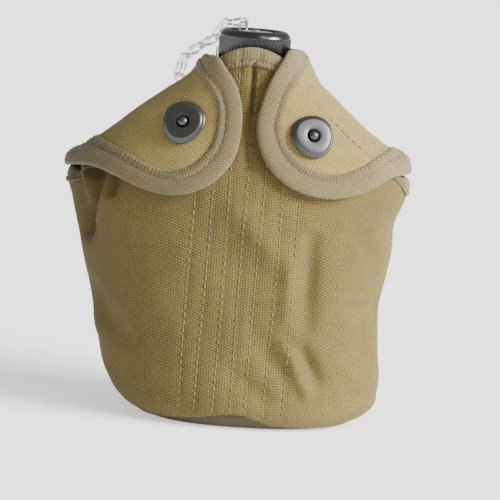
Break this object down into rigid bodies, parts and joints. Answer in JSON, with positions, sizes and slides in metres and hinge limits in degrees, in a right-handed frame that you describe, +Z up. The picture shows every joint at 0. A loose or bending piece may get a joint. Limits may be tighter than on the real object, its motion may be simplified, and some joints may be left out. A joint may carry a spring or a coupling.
{
  "type": "canteen",
  "caption": "Belt canteen in a felt-lined canvas cover: shoulder flaps fastened by press studs on the front, a chained ribbed screw cap, and a wire belt hook.",
  "frame": {"origin": "on the flat bottom of the cover, under the axis of the bottle neck", "axes": "+Z up along the neck, -Y towards the front with the flaps and studs, +Y towards the wearer, +X to the right seen from the front"},
  "size_m": [0.1823, 0.1033, 0.2139],
  "materials": {
    "canvas": "cotton duck",
    "tape": "herringbone cotton tape",
    "felt": "wool felt",
    "black_enamel": "blackened brass, worn",
    "bakelite": "moulded, satin",
    "aluminium": "satin",
    "steel": "dull",
    "rubber": "matte"
  },
  "bodies": {
    "cover": {"front_panel": "canvas", "back_panel": "canvas", "bottom_panel": "canvas", "front_lining": "felt", "back_lining": "felt", "front_binding": "tape", "left_shoulder": "canvas", "right_shoulder": "canvas", "left_stud": "black_enamel", "right_stud": "black_enamel", "left_stud_rivet": "steel", "right_stud_rivet": "steel", "hook_strap": "tape", "bottle_lower_shell": "aluminium", "bottle_upper_shell": "aluminium", "threaded_neck": "aluminium", "neck_staple": "aluminium"},
    "left_flap_panel": {"left_flap": "canvas", "left_flap_binding": "tape", "left_socket": "black_enamel", "left_clinch_plate": "steel"},
    "right_flap_panel": {"right_flap": "canvas", "right_flap_binding": "tape", "right_socket": "black_enamel", "right_clinch_plate": "steel"},
    "cap_swivel": {"cap_top_plate": "aluminium", "cap_rivet": "steel", "cap_eye": "aluminium", "chain_link_01": "aluminium", "chain_link_02": "aluminium", "chain_link_03": "aluminium", "chain_link_04": "aluminium", "chain_link_05": "aluminium", "chain_link_06": "aluminium", "chain_link_07": "aluminium", "chain_link_08": "aluminium"},
    "cap": {"cap_shell": "bakelite", "cap_gasket": "rubber"},
    "hook": {"belt_hook": "steel"}
  },
  "joints": [
    {"name": "left_flap_lift", "type": "hinge", "parent": "cover", "child": "left_flap_panel", "pos_m": [-0.0475, -0.025, 0.16325], "axis": [-0.7901, 0.1033, -0.6042], "range_deg": [0, 115]},
    {"name": "right_flap_lift", "type": "hinge", "parent": "cover", "child": "right_flap_panel", "pos_m": [0.0439, -0.0251, 0.1669], "axis": [-0.7714, -0.1011, 0.6283], "range_deg": [0, 115]},
    {"name": "cap_lift", "type": "slide", "parent": "cover", "child": "cap_swivel", "axis": [0, 0, 1], "range_m": [0, 0.009]},
    {"name": "cap_turn", "type": "hinge", "parent": "cap_swivel", "child": "cap", "pos_m": [0, 0, 0.19], "axis": [0, 0, 1], "range_deg": [0, 812]},
    {"name": "belt_hook_swing", "type": "hinge", "parent": "cover", "child": "hook", "pos_m": [0, 0.0498, 0.128], "axis": [1, 0, 0], "range_deg": [0, 100]}
  ],
  "couplings": [
    {"joint": "cap_turn", "follows": "cap_lift", "rad_per_m": 1570.8}
  ]
}
